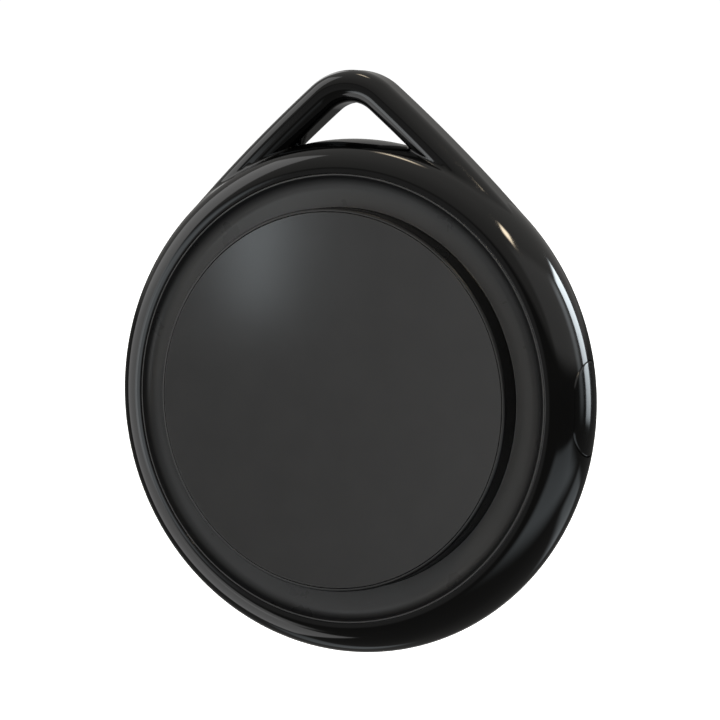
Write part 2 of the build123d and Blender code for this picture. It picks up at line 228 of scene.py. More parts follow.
# Studio. ROOM_LEVELS pairs heights, from 0 straight down to 1 straight up, with the room's brightness.
WHITE = (1.0, 1.0, 1.0)
COOL = (0.86, 0.95, 1.0)
WARM = (1.0, 0.84, 0.62)
PANEL_DISTANCE = 1.0
FLOOR_PANEL_DROP = 0.5
FLOOR_DROP = 28 * MM
FLOOR_SIZE = 6.0
FLOOR_GLOW = 0.8
FLOOR_SPECKLE = 0.05
FLOOR_TONES = ((0.84, 0.84, 0.85, 1), (0.9, 0.9, 0.9, 1))
FLOOR_ROUGHNESS = 0.9
ROOM_TINT = (1, 0.985, 0.95)
ROOM_LEVELS = ((0.0, 0.12), (0.44, 0.08), (0.54, 0.08), (0.59, 0.34), (0.75, 0.42), (0.95, 0.58))
BACKDROP_LEVEL = 1.05

# Finishes. Scales are repeats in a millimetre.
CLOUD_SCALE = 0.35
WEAR_SCALE = 1.3
WEAR_RADIUS = 0.07 * MM
WEAR_GAIN = 1.6
WEAR_GREY = 0.012
SCRATCH_WIDTH = 0.006
SCRATCH_DEPTH = 0.0008 * MM
# Painted shade in the cove: its colour fades to near black towards the lip, in place of the shade in the
# corner there. These are the fade's start and end past the trough's edge, and the shade's colour.
COVE_SHADE_FADE = (0.4 * MM, 0.95 * MM)
COVE_PAINTED_SHADE = (0.012, 0.012, 0.0125, 1)
WALL_BLACK = (0.002, 0.002, 0.0021, 1)
TRACKS_PER_M = 700
TRACK_TINT = (0.03, 0.045, 0.02, 1)

finishes = {}


def arc(centre, radius, start, end, step=STEP):
    """Points along an arc, both ends included."""
    count = max(2, ceil(abs(end - start) * radius / step)) + 1
    angles = np.linspace(start, end, count)
    return [(centre[0] + radius * cos(a), centre[1] + radius * sin(a)) for a in angles]


def subdivided(points, step=1.5 * MM):
    """A closed outline with its long runs divided, so that its faces stay well shaped."""
    out = []
    for a, b in zip(points, points[1:] + points[:1]):
        count = max(1, ceil(hypot(b[0] - a[0], b[1] - a[1]) / step))
        out += [(a[0] + (b[0] - a[0]) * i / count, a[1] + (b[1] - a[1]) * i / count) for i in range(count)]
    return out


def new_object(name, vertices, faces):
    """A smooth-shaded object with outward faces and sharp edges."""
    mesh = bpy.data.meshes.new(name)
    mesh.from_pydata([tuple(v) for v in vertices], [], [tuple(f) for f in faces])
    mesh.validate()
    recalculate(mesh)
    mesh.shade_smooth()
    mesh.set_sharp_from_angle(angle=radians(SHARP))
    made = bpy.data.objects.new(name, mesh)
    bpy.context.scene.collection.objects.link(made)
    return made


def recalculate(mesh):
    """Joins points that coincide and turns every face outwards."""
    shape = bmesh.new()
    shape.from_mesh(mesh)
    bmesh.ops.remove_doubles(shape, verts=shape.verts, dist=WELD)
    bmesh.ops.recalc_face_normals(shape, faces=shape.faces)
    shape.to_mesh(mesh)
    shape.free()


def supported(outline):
    """The outline with a point close to each slight bend at a long run's end, so that it shades flat."""
    points = [Vector(p) for p in outline]
    before, after, beyond = points[-1:] + points[:-1], points[1:] + points[:1], points[2:] + points[:2]
    out = []
    for a, b, c, d in zip(before, points, after, beyond):
        out.append(b)
        run = c - b
        if run.length > SUPPORTED_RUN:
            close = run.normalized() * SUPPORT_REACH
            out += [b + close] if (b - a).angle(run, 0) > SLIGHT_BEND else []
            out += [c - close] if run.angle(d - c, 0) > SLIGHT_BEND else []
    return [tuple(p) for p in out]


def lathe(name, outline, relief=None, steps=ROUND_STEPS):
    """The solid that a closed outline sweeps about the Y axis. Points at radius 0 share one vertex, and
    relief(x, z) gives the height of the points on the back face."""
    angles = np.linspace(0, 2 * pi, steps, endpoint=False)
    vertices, rows = [], []
    for r, h in supported(outline):
        start = len(vertices)
        if r < TINY:
            vertices.append((0, -h, 0))
            rows.append([start] * steps)
            continue
        x, z = r * np.cos(angles), r * np.sin(angles)
        height = relief(x, z) if relief and h == 0 else np.full(steps, h)
        vertices += zip(x, -height, z)
        rows.append(list(range(start, start + steps)))
    faces = []
    for one, two in zip(rows, rows[1:] + rows[:1]):
        for i in range(steps):
            j = (i + 1) % steps
            corners = list(dict.fromkeys((one[i], one[j], two[j], two[i])))
            if len(corners) > 2:
                faces.append(corners)
    return new_object(name, vertices, faces)


def upright(name, outline, low, high):
    """A solid along Y from an outline of (x, z) points, between two heights."""
    n = len(outline)
    vertices = [(x, -h, z) for h in (low, high) for x, z in outline]
    faces = [(i, (i + 1) % n, n + (i + 1) % n, n + i) for i in range(n)]
    faces += [list(range(n)), list(range(n, 2 * n))]
    return new_object(name, vertices, faces)


def sector(name, outer, inner, angle, half_angle, low, high):
    """A piece of a ring, centred on an angle from +X."""
    outline = arc((0, 0), outer, angle - half_angle, angle + half_angle, step=0.3 * MM)
    outline += arc((0, 0), inner, angle + half_angle, angle - half_angle, step=0.3 * MM)
    return upright(name, outline, low, high)


def rim_arcs():
    """Centres of the rim's side arc and of its front shoulder arc."""
    side = (RIM_R - SIDE_ARC_R, MID_H)
    reach = SIDE_ARC_R - SHOULDER_ARC_R
    front = (side[0] + reach * cos(SHOULDER_ANGLE), MID_H + reach * sin(SHOULDER_ANGLE))
    return side, front


def lip_edge():
    """Centre and end angle of the fine round between the front lip's bore and the rim's shoulder."""
    _, front = rim_arcs()
    across = front[0] - LIP_R - LIP_EDGE_R
    up = sqrt((SHOULDER_ARC_R - LIP_EDGE_R) ** 2 - across**2)
    return (LIP_R + LIP_EDGE_R, front[1] + up), atan2(up, -across)


def rim_outline():
    """The rim's outer profile, front lip to back lip, and its bore with the two ledges."""
    side, front = rim_arcs()
    edge, turn = lip_edge()
    front_half = arc(edge, LIP_EDGE_R, pi, turn, step=0.02 * MM)
    front_half += arc(front, SHOULDER_ARC_R, turn, SHOULDER_ANGLE)[1:]
    back_half = [(r, 2 * MID_H - h) for r, h in reversed(front_half)]
    outer = front_half + arc(side, SIDE_ARC_R, SHOULDER_ANGLE, -SHOULDER_ANGLE)[1:-1] + back_half
    inner = [(LIP_R, REAR_LEDGE_H), (BORE_R, REAR_LEDGE_H)]
    inner += [(BORE_R, FRONT_LEDGE_H), (LIP_R, FRONT_LEDGE_H)]
    return outer, inner


def rim_distance(points):
    """Distance from points to the rim's outer surface, negative inside."""
    side, front = rim_arcs()
    r = np.hypot(points[:, 0], points[:, 2])
    h = np.abs(-points[:, 1] - MID_H)
    by_side = np.hypot(r - side[0], h) - SIDE_ARC_R
    by_shoulder = np.hypot(r - front[0], h - (front[1] - MID_H)) - SHOULDER_ARC_R
    return np.where(np.arctan2(h, r - side[0]) < SHOULDER_ANGLE, by_side, by_shoulder)


def loop_arcs():
    """(centre, radius, start, end) of the right half of the loop's centre line, foot to tip."""
    reach = LOOP_ROOT_R * cos(LOOP_ROOT) - LOOP_TIP_R * cos(LOOP_TIP)
    leg_r = reach / (cos(LOOP_ROOT) - cos(LOOP_TIP))
    leg = ((LOOP_ROOT_R - leg_r) * cos(LOOP_ROOT), (LOOP_ROOT_R - leg_r) * sin(LOOP_ROOT))
    tip = (0.0, leg[1] + (leg_r - LOOP_TIP_R) * sin(LOOP_TIP))
    root = (0.0, 0.0)
    return [(root, LOOP_ROOT_R, LOOP_FOOT, LOOP_ROOT), (leg, leg_r, LOOP_ROOT, LOOP_TIP),
            (tip, LOOP_TIP_R, LOOP_TIP, pi / 2)]


def box_distance(across, along):
    """Distance to a rectangle from the distances past its two sides, negative inside."""
    outside = np.hypot(np.maximum(across, 0), np.maximum(along, 0))
    return outside + np.minimum(np.maximum(across, along), 0)


def loop_distance(points):
    """Distance from points to the loop bar's surface, negative inside."""
    x, z = np.abs(points[:, 0]), points[:, 2]
    across = np.full(len(points), FAR_AWAY)
    for centre, radius, start, end in loop_arcs():
        angle = np.arctan2(z - centre[1], x - centre[0])
        off = np.hypot(x - centre[0], z - centre[1]) - radius
        inside = (angle >= start - TINY) & (angle <= end + TINY)
        across = np.where(inside & (np.abs(off) < np.abs(across)), off, across)
    qx = np.abs(across) - (LOOP_WIDTH / 2 - LOOP_EDGE_R)
    qy = np.abs(points[:, 1] + MID_H) - (LOOP_DEPTH / 2 - LOOP_EDGE_R)
    return box_distance(qx, qy) - LOOP_EDGE_R


def joined_distance(points):
    """Distance to the rim and loop moulded together. Their fillet fades out where the loop sinks into the
    rim and where the two surfaces run the same way."""
    a, b = rim_distance(points), loop_distance(points)
    crossing = 1 - (gradient(rim_distance, points) * gradient(loop_distance, points)).sum(1)
    up = np.arctan2(points[:, 2], np.abs(points[:, 0]))
    share = np.clip((up - FILLET_FROM) / (FILLET_FULL - FILLET_FROM), 0, 1)
    width = FILLET * share**2 * (3 - 2 * share) * np.clip(crossing / FULL_CROSSING, 0, 1) + TINY
    near = np.maximum(width - np.abs(a - b), 0) / width
    return np.minimum(a, b) - near**2 * width / 4


def gradient(distance, points, reach=SLOPE_REACH):
    """The slope of a distance at points, which is the surface's normal there."""
    out = np.zeros_like(points)
    for axis in range(3):
        shift = np.zeros(3)
        shift[axis] = reach
        out[:, axis] = (distance(points + shift) - distance(points - shift)) / (2 * reach)
    return out


def loop_bar():
    """The hanging loop as a rounded bar swept along its centre line, both feet inside the rim."""
    path = []
    for centre, radius, start, end in loop_arcs():
        count = max(2, ceil((end - start) * radius / STEP))
        path += [(centre, radius, a) for a in np.linspace(start, end, count, endpoint=end == pi / 2)]
    path += [((-centre[0], centre[1]), radius, pi - a)
             for centre, radius, a in reversed(path[:-1])]
    half_w, half_d = LOOP_WIDTH / 2 - LOOP_EDGE_R, LOOP_DEPTH / 2 - LOOP_EDGE_R
    section = []
    for k, (sw, sd) in enumerate(((1, 1), (-1, 1), (-1, -1), (1, -1))):
        section += arc((sw * half_w, sd * half_d), LOOP_EDGE_R, k * pi / 2, (k + 1) * pi / 2)
    section = subdivided(section, step=0.3 * MM)
    vertices = [((c[0] + (radius + w) * cos(a)), -MID_H + d, c[1] + (radius + w) * sin(a))
                for c, radius, a in path for w, d in section]
    n = len(section)
    faces = [(row * n + i, row * n + (i + 1) % n, (row + 1) * n + (i + 1) % n, (row + 1) * n + i)
             for row in range(len(path) - 1) for i in range(n)]
    faces += [list(range(n)), list(range((len(path) - 1) * n, len(path) * n))]
    return new_object("loop_bar", vertices, faces)


def boolean(target, tool, operation):
    """Replaces target's mesh with the result, and removes the tool."""
    modifier = target.modifiers.new("cut", "BOOLEAN")
    modifier.object = tool
    modifier.operation = operation
    modifier.solver = "MANIFOLD"
    bpy.context.view_layer.update()
    evaluated = target.evaluated_get(bpy.context.evaluated_depsgraph_get())
    result = bpy.data.meshes.new_from_object(evaluated)
    target.modifiers.clear()
    target.data = result
    bpy.data.objects.remove(tool)
    return target


def make_housing():
    """The rim and its loop in one moulding, with the button's well and the room for its ears."""
    outer, inner = rim_outline()
    housing = lathe("housing_shell", subdivided(outer + inner))
    boolean(housing, loop_bar(), "UNION")
    fillet_root(housing.data)
    well = prism("button_room", stadium(BUTTON_GAP), SHOULDER_X, RIM_R + OVERCUT)
    boolean(housing, well, "DIFFERENCE")
    ears = (EAR_W + 2 * EAR_GAP, EAR_L + 2 * EAR_GAP)
    boolean(housing, box_piece("ear_room", (BORE_R - OVERCUT, SHOULDER_X), *ears), "DIFFERENCE")
    smooth_normals(housing.data)
    return finished(housing, "case", "housing_gloss", "housing")


def fillet_root(mesh):
    """Moves the outer surface onto the filleted one where the loop leaves the rim."""
    points = coordinates(mesh)
    on_surface = np.abs(np.minimum(rim_distance(points), loop_distance(points))) < ON_SURFACE
    moving = points[on_surface]
    for _ in range(FILLET_PASSES):
        slope = gradient(joined_distance, moving)
        length = np.maximum((slope**2).sum(1, keepdims=True), LEAST_SLOPE)
        moving = moving - joined_distance(moving)[:, None] * slope / length
    points[on_surface] = moving
    mesh.vertices.foreach_set("co", points.astype(np.float32).ravel())
    mesh.update()


def coordinates(mesh):
    """The mesh's vertices as rows of x, y and z."""
    flat = np.zeros(len(mesh.vertices) * 3, np.float32)
    mesh.vertices.foreach_get("co", flat)
    return flat.reshape(-1, 3).astype(float)


def smooth_normals(mesh):
    """Gives the outer surface the exact normals of the moulded form, so its reflections run clean."""
    mesh.shade_smooth()
    mesh.set_sharp_from_angle(angle=radians(SHARP))
    points = coordinates(mesh)
    exact = gradient(joined_distance, points)
    exact /= np.maximum(np.linalg.norm(exact, axis=1, keepdims=True), TINY)
    on_surface = np.abs(joined_distance(points)) < 2 * ON_SURFACE
    corner_vertex = np.zeros(len(mesh.loops), np.int32)
    mesh.loops.foreach_get("vertex_index", corner_vertex)
    corner_normal = np.zeros(len(mesh.loops) * 3, np.float32)
    mesh.corner_normals.foreach_get("vector", corner_normal)
    corner_normal = corner_normal.reshape(-1, 3)
    wanted = exact[corner_vertex]
    use = on_surface[corner_vertex] & ((wanted * corner_normal).sum(1) > SAME_WAY)
    corner_normal[use] = wanted[use]
    mesh.normals_split_custom_set(corner_normal.tolist())


def stadium(clearance, inset=0.0, steps=56):
    """The button's outline as (height from the middle, z) points, grown by a clearance or shrunk."""
    radius = BUTTON_W / 2 + clearance - inset
    half = (BUTTON_L - BUTTON_W) / 2
    top = [(radius * cos(a), half + radius * sin(a)) for a in np.linspace(0, pi, steps)]
    left = [(-radius, z) for z in np.linspace(half, -half, STRAIGHT_STEPS)[1:-1]]
    bottom = [(radius * cos(a), -half + radius * sin(a)) for a in np.linspace(pi, 2 * pi, steps)]
    right = [(radius, z) for z in np.linspace(-half, half, STRAIGHT_STEPS)[1:-1]]
    return top + left + bottom + right


def prism(name, outline, x_from, x_to):
    """A solid along X from an outline of (height from the middle, z) points."""
    n = len(outline)
    vertices = [(x, -MID_H - h, z) for x in (x_from, x_to) for h, z in outline]
    faces = [(i, (i + 1) % n, n + (i + 1) % n, n + i) for i in range(n)]
    faces += [list(range(n)), list(range(n, 2 * n))]
    return new_object(name, vertices, faces)


def box_piece(name, x_span, width, length):
    """A box along X, centred on the button."""
    w, l = width / 2, length / 2
    return prism(name, [(w, l), (-w, l), (-w, -l), (w, -l)], *x_span)


def rim_radius(h):
    """The rim's outer radius at a height from the middle."""
    side, front = rim_arcs()
    h = abs(h)
    if h < SIDE_ARC_R * sin(SHOULDER_ANGLE):
        return side[0] + sqrt(SIDE_ARC_R**2 - h**2)
    return front[0] + sqrt(SHOULDER_ARC_R**2 - (h - (front[1] - MID_H)) ** 2)


def cap_rings():
    """The cap's rings, floor to crown. The crown follows the rim and has a fine round at its edge."""
    insets = [BUTTON_EDGE_R * (1 - cos(a)) for a in np.linspace(0, pi / 2, CAP_EDGE_RINGS)]
    insets += list(np.linspace(BUTTON_EDGE_R, BUTTON_W / 2, CAP_CROWN_RINGS)[1:])
    rings = []
    for inset in insets:
        away = max(BUTTON_EDGE_R - inset, 0)
        drop = BUTTON_EDGE_R - sqrt(BUTTON_EDGE_R**2 - away**2)
        outline = stadium(0, min(inset, BUTTON_W / 2 - TINY))
        rings.append([(sqrt(rim_radius(h) ** 2 - z**2) - drop, -MID_H - h, z) for h, z in outline])
    rings.insert(0, [(CAP_FLOOR_X, y, z) for _, y, z in rings[0]])
    return rings


def make_button():
    """The cap with its neck, ears and stem, which are inside the housing."""
    rings = cap_rings()
    n = len(rings[0])
    vertices = [p for ring in rings for p in ring]
    faces = [(k * n + i, k * n + (i + 1) % n, (k + 1) * n + (i + 1) % n, (k + 1) * n + i)
             for k in range(len(rings) - 1) for i in range(n)]
    faces.append(list(range(n)))
    cap = new_object("side_button_cap", vertices, faces)
    boolean(cap, box_piece("neck", (EAR_X, CAP_FLOOR_X + NECK_OVERLAP), EAR_W, NECK_L), "UNION")
    boolean(cap, box_piece("ears", (EAR_X, EAR_X + EAR_T), EAR_W, EAR_L), "UNION")
    turns = np.linspace(0, 2 * pi, STEM_SIDES, endpoint=False)
    stem = [(STEM_R * cos(a), STEM_R * sin(a)) for a in turns]
    boolean(cap, prism("stem", stem, STEM_END_X, EAR_X + EAR_T / 2), "UNION")
    sharpen(cap, CAP_SHARP)
    return finished(cap, "button", "button_gloss", "side_button")


def make_front_insert():
    """Boss, trough and cove, with a round at the boss's edge and a narrow land at the rim's lip."""
    land_r = INSERT_R - LIP_LAND
    cove_h = LIP_H - TROUGH_H
    cove_r = ((land_r - TROUGH_R) ** 2 + cove_h**2) / (2 * cove_h)
    cove_end = asin((land_r - TROUGH_R) / cove_r) - pi / 2
    low = FRONT_LEDGE_H + LIP_GAP
    outline = arc((BOSS_R - BOSS_EDGE_R, FACE_H - BOSS_EDGE_R), BOSS_EDGE_R, pi / 2, 0, step=0.03 * MM)
    outline += arc((BOSS_R + ROOT_R, TROUGH_H + ROOT_R), ROOT_R, pi, 1.5 * pi, step=0.03 * MM)
    outline += [(TROUGH_R + (BOSS_R - TROUGH_R) * share, TROUGH_H) for share in (0.6, 0.3)]
    outline += arc((TROUGH_R, TROUGH_H + cove_r), cove_r, -pi / 2, cove_end, step=0.08 * MM)
    outline += arc((INSERT_R - LAND_EDGE_R, LIP_H - LAND_EDGE_R), LAND_EDGE_R, pi / 2, 0, step=0.01 * MM)
    outline += [(INSERT_R, low), (BOSS_BORE_R, low), (BOSS_BORE_R, CEILING_H)]
    outline += [(r, CEILING_H) for r in np.linspace(BOSS_BORE_R, 0, POCKET_RINGS)[1:]]
    outline += [(r, POCKET_FLOOR_H) for r in np.linspace(0, FACE_POCKET_R, POCKET_RINGS)]
    return finished(lathe("front_bezel", outline), "case", "insert_satin", "front_insert")


def make_face():
    """The inlaid disc, with a fine round at its edge."""
    edge = FACE_EDGE_R
    outline = [(0, FACE_H - FACE_T), (FACE_R, FACE_H - FACE_T)]
    outline += arc((FACE_R - edge, FACE_H - edge), edge, 0, pi / 2, step=0.015 * MM)
    outline += [(r, FACE_H) for r in np.linspace(FACE_R - edge, 0, FACE_RINGS)[1:]]
    return finished(lathe("face_plate", outline), "case", "face_matte", "face_disc")


def smooth(share):
    """Eases a share between 0 and 1."""
    share = np.clip(share, 0, 1)
    return share * share * (3 - 2 * share)


def dimple(x, z, radius, angle):
    """Depth of an index mark, whose middle is at a radius and an angle from +X."""
    inside = MARK_R - np.hypot(x - radius * cos(angle), z - radius * sin(angle))
    return MARK_DEPTH * smooth(inside / MARK_WALL)


def finger_grip(x, z, side):
    """Depth of a curved finger recess on the +X side, or with side -1 on the -X side."""
    middle, half = (GRIP_R[0] + GRIP_R[1]) / 2, (GRIP_R[1] - GRIP_R[0]) / 2
    across = np.abs(np.hypot(x, z) - middle) - (half - GRIP_CORNER_R)
    along = np.abs(np.arctan2(z, side * x)) * middle - (middle * GRIP_HALF_ANGLE - GRIP_CORNER_R)
    return GRIP_DEPTH * smooth((GRIP_CORNER_R - box_distance(across, along)) / GRIP_WALL)


def face_radii(start, end, *dense):
    """Radii of a flat face's rings, close together within the dense spans."""
    out = [start]
    while out[-1] < end:
        fine = any(low <= out[-1] + DENSE_MARGIN and out[-1] < high for low, high in dense)
        out.append(out[-1] + (FINE_RING if fine else COARSE_RING))
    return out[:-1] + [end]


def cover_relief(x, z, radius):
    """Depth of the two marks that show where the door's own mark stands, locked and open."""
    return dimple(x, z, radius, DOOR_NOW) + dimple(x, z, radius, DOOR_NOW - DOOR_TURN)


def door_relief(x, z, radius):
    """Depth of the two finger grips and the index mark."""
    return finger_grip(x, z, 1) + finger_grip(x, z, -1) + dimple(x, z, radius, DOOR_NOW)


def make_rear_cover():
    """The plateau with its rounded shoulder and index marks, and the flange that holds the door's lugs."""
    marks = (LID_SEAT_R + PLATEAU_R - PLATEAU_EDGE_R) / 2
    top = REAR_LEDGE_H - LIP_GAP
    shoulder = (PLATEAU_R - PLATEAU_EDGE_R, PLATEAU_EDGE_R)
    face = face_radii(LID_SEAT_R + COVER_EDGE_R, shoulder[0], (marks - MARK_R, marks + MARK_R))
    seat_edge = (LID_SEAT_R + COVER_EDGE_R, COVER_EDGE_R)
    outline = arc(seat_edge, COVER_EDGE_R, pi, 1.5 * pi, step=0.02 * MM)[:-1]
    outline += [(r, 0) for r in face]
    outline += arc(shoulder, PLATEAU_EDGE_R, -pi / 2, 0, step=0.06 * MM)[1:]
    outline += arc((PLATEAU_R + ROOT_R, REAR_STEP_H - ROOT_R), ROOT_R, pi, pi / 2, step=0.02 * MM)
    land = (INSERT_R - LAND_EDGE_R, REAR_STEP_H + LAND_EDGE_R)
    outline += arc(land, LAND_EDGE_R, -pi / 2, 0, step=0.01 * MM)
    outline += [(INSERT_R, top), (COVER_WALL_R, top), (COVER_WALL_R, COVER_T), (FLANGE_R, COVER_T),
                (FLANGE_R, LID_SEAT_H), (LID_SEAT_R, LID_SEAT_H)]
    cover = lathe("rear_shell", outline, lambda x, z: cover_relief(x, z, marks))
    for angle in LUG_ANGLES:
        notch = sector("notch", NOTCH_R, FLANGE_R - OVERCUT, angle - DOOR_TURN, NOTCH_HALF_ANGLE,
                       LID_SEAT_H - NOTCH_OVERCUT, COVER_T + NOTCH_OVERCUT)
        boolean(cover, notch, "DIFFERENCE")
    sharpen(cover)
    return finished(cover, "case", "cover_satin", "rear_cover")


def make_door():
    """The lid with its finger grips and index mark, the seal's groove, and the skirt with its lugs."""
    mark = LID_R - 3 * MARK_R
    groove = SEAL_WIRE_R + SEAL_GAP
    face = face_radii(0, LID_R - LID_EDGE_R, GRIP_R, (mark - MARK_R, mark + MARK_R))
    outline = [(r, 0) for r in face]
    outline += arc((LID_R - LID_EDGE_R, LID_EDGE_R), LID_EDGE_R, -pi / 2, 0, step=0.02 * MM)[1:]
    outline += [(LID_R, SEAL_H - groove), (SEAL_R - groove, SEAL_H - groove),
                (SEAL_R - groove, SEAL_H + groove), (LID_R, SEAL_H + groove), (LID_R, LID_T),
                (DOOR_R, LID_T), (DOOR_R, SKIRT_H), (SKIRT_BORE_R, SKIRT_H), (SKIRT_BORE_R, DOOR_T),
                (0, DOOR_T)]
    door = lathe("door_lid", outline, lambda x, z: door_relief(x, z, mark))
    for angle in LUG_ANGLES:
        lug = sector("lug", LUG_R, (SKIRT_BORE_R + DOOR_R) / 2, angle, LUG_HALF_ANGLE, LUG_H, SKIRT_H)
        boolean(door, lug, "UNION")
    sharpen(door)
    return finished(door, "door", "door_matte", "battery_door")


def make_seal():
    """The round rubber ring in the door's groove."""
    wire = arc((SEAL_R, SEAL_H), SEAL_WIRE_R, 0, 2 * pi, step=0.04 * MM)[:-1]
    ring = lathe("door_ring_seal", wire, steps=ROUND_STEPS // 2)
    return finished(ring, "door", "seal_rubber", "door_seal")


def sharpen(piece, angle=SHARP):
    """Shades a piece smooth, apart from edges that turn more than an angle in degrees."""
    piece.data.shade_smooth()
    piece.data.set_sharp_from_angle(angle=radians(angle))


def finished(piece, body, slot, *nodes):
    """Puts a piece on its body, declares its material slot and hides the CAD nodes it stands for."""
    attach(piece, body)
    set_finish(piece, slot)
    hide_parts(*nodes)
    return piece


def direction(azimuth, elevation):
    """The unit vector at an azimuth from -Y towards +X and an elevation, both in degrees."""
    a, e = radians(azimuth), radians(elevation)
    return Vector((sin(a) * cos(e), -cos(a) * cos(e), sin(e)))


def make_camera():
    """A long lens in front of the tag, to its right and a little above."""
    back = direction(CAMERA_AZIMUTH, CAMERA_ELEVATION)
    camera = bpy.data.objects.new("camera", bpy.data.cameras.new("camera"))
    bpy.context.scene.collection.objects.link(camera)
    camera.location = CAMERA_TARGET + back * CAMERA_DISTANCE
    turn = (-back).to_track_quat("-Z", "Y")
    camera.rotation_mode = "QUATERNION"
    camera.rotation_quaternion = turn @ Matrix.Rotation(radians(CAMERA_ROLL), 4, "Z").to_quaternion()
    camera.data.lens = CAMERA_LENS
    camera.data.sensor_width = CAMERA_SENSOR
    camera.data.clip_start = CAMERA_NEAR
    bpy.context.scene.camera = camera


def node(tree, kind, inputs=(), **settings):
    """A new shader node. inputs pairs a socket with a value or with the output that feeds it."""
    made = tree.nodes.new(kind)
    for name, value in settings.items():
        setattr(made, name, value)
    for socket, value in dict(inputs).items():
        if isinstance(value, bpy.types.NodeSocket):
            tree.links.new(value, made.inputs[socket])
        else:
            made.inputs[socket].default_value = value
    return made


def maths(tree, operation, one, two=0.0):
    return node(tree, "ShaderNodeMath", {0: one, 1: two}, operation=operation).outputs[0]


def levels(tree, value, low, high, to_low=0.0, to_high=1.0):
    """A value's span from low to high, stretched to run from to_low to to_high and held at its ends."""
    return node(tree, "ShaderNodeMapRange", {0: value, 1: low, 2: high, 3: to_low, 4: to_high}).outputs[0]


def blended(tree, share, one, two):
    """The colour that is a share of the way from one colour to another."""
    return node(tree, "ShaderNodeMix", {0: share, 6: one, 7: two}, data_type="RGBA").outputs[2]


def noise(tree, per_mm, detail=2.0, stretch=(1, 1, 1), turn=(0, 0, 0)):
    """Noise in the object's own space, with a pattern's size given as repeats in a millimetre."""
    where = node(tree, "ShaderNodeTexCoord").outputs["Object"]
    scale = [per_mm * axis / MM for axis in stretch]
    where = node(tree, "ShaderNodeMapping", {"Vector": where, "Rotation": turn, "Scale": scale}).outputs[0]
    return node(tree, "ShaderNodeTexNoise", {"Vector": where, "Scale": 1.0, "Detail": detail}).outputs[0]


def falloff(tree, coordinate, soft):
    """1 in the middle of a 0 to 1 coordinate and 0 at both its ends, over a soft margin."""
    away = maths(tree, "ABSOLUTE", maths(tree, "SUBTRACT", coordinate, 0.5))
    return node(tree, "ShaderNodeMapRange", {0: away, 1: 0.5 - soft, 2: 0.5, 3: 1.0, 4: 0.0},
                interpolation_type="SMOOTHSTEP").outputs[0]


def panel_material(name, colour, low, high, soft):
    """A light panel's glow, from low at its foot to high at its head, with soft margins. What is behind the
    panel shows through it, so that panels add up."""
    made = bpy.data.materials.new(name)
    made.use_nodes = True
    tree = made.node_tree
    tree.nodes.clear()
    where = node(tree, "ShaderNodeTexCoord").outputs["Generated"]
    where = node(tree, "ShaderNodeSeparateXYZ", {0: where})
    rise = node(tree, "ShaderNodeMapRange", {0: where.outputs[1], 3: low, 4: high}).outputs[0]
    across = falloff(tree, where.outputs[0], soft[0])
    along = falloff(tree, where.outputs[1], soft[1])
    strength = maths(tree, "MULTIPLY", maths(tree, "MULTIPLY", across, along), rise)
    glow = node(tree, "ShaderNodeEmission", {0: (*colour, 1), 1: strength}).outputs[0]
    clear = node(tree, "ShaderNodeBsdfTransparent").outputs[0]
    both = node(tree, "ShaderNodeAddShader", {0: glow, 1: clear}).outputs[0]
    node(tree, "ShaderNodeOutputMaterial", {0: both})
    return made


def panel(name, middle, facing, width, height, roll, material):
    """A flat studio light panel, seen by the object and not by the camera."""
    mesh = bpy.data.meshes.new(name)
    w, h = width / 2, height / 2
    mesh.from_pydata([(-w, -h, 0), (w, -h, 0), (w, h, 0), (-w, h, 0)], [], [(0, 1, 2, 3)])
    mesh.materials.append(material)
    made = bpy.data.objects.new(name, mesh)
    bpy.context.scene.collection.objects.link(made)
    made.location = middle
    made.rotation_mode = "QUATERNION"
    turn = Vector(facing).to_track_quat("Z", "Y")
    made.rotation_quaternion = turn @ Matrix.Rotation(radians(roll), 4, "Z").to_quaternion()
    made.visible_camera = False
    made.visible_shadow = False
    return made


def softbox(name, azimuth, elevation, wide, high, strength, colour=WHITE, roll=0, foot=None,
            soft=(0.2, 0.2)):
    """A panel that faces the object. Its place and size are angles seen from the object, in degrees, and
    foot is its strength at its foot where that differs."""
    where = direction(azimuth, elevation)
    width = 2 * PANEL_DISTANCE * tan(radians(wide / 2))
    height = 2 * PANEL_DISTANCE * tan(radians(high / 2))
    glow = panel_material(name, colour, strength if foot is None else foot, strength, soft)
    return panel(name, where * PANEL_DISTANCE, -where, width, height, roll, glow)


def floor_panel(name, azimuth, near, far, width, strength):
    """A panel that lies below the object, its near and far edges at distances along an azimuth."""
    out = direction(azimuth, 0)
    middle = out * (near + far) / 2 + Vector((0, 0, -FLOOR_PANEL_DROP))
    glow = panel_material(name, COOL, strength, strength / 2, (0.25, 0.25))
    made = panel(name, middle, (0, 0, 1), width, far - near, 0, glow)
    made.rotation_quaternion = Matrix.Rotation(radians(azimuth - 180), 4, "Z").to_quaternion()


def near_panel(name, x_span, z_span, away, low, high, soft):
    """A panel parallel to the face and close to it, from spans and a distance in millimetres."""
    middle = Vector((sum(x_span) / 2, -FACE_H / MM - away, sum(z_span) / 2)) * MM
    glow = panel_material(name, COOL, low, high, soft)
    width, height = (x_span[1] - x_span[0]) * MM, (z_span[1] - z_span[0]) * MM
    return panel(name, middle, (0, 1, 0), width, height, 0, glow)


def light_only(light, *names):
    """Lets a panel light only the named pieces."""
    lit = bpy.data.collections.new(light.name + "_receivers")
    for name in names:
        lit.objects.link(bpy.data.objects[name])
    light.light_linking.receiver_collection = lit


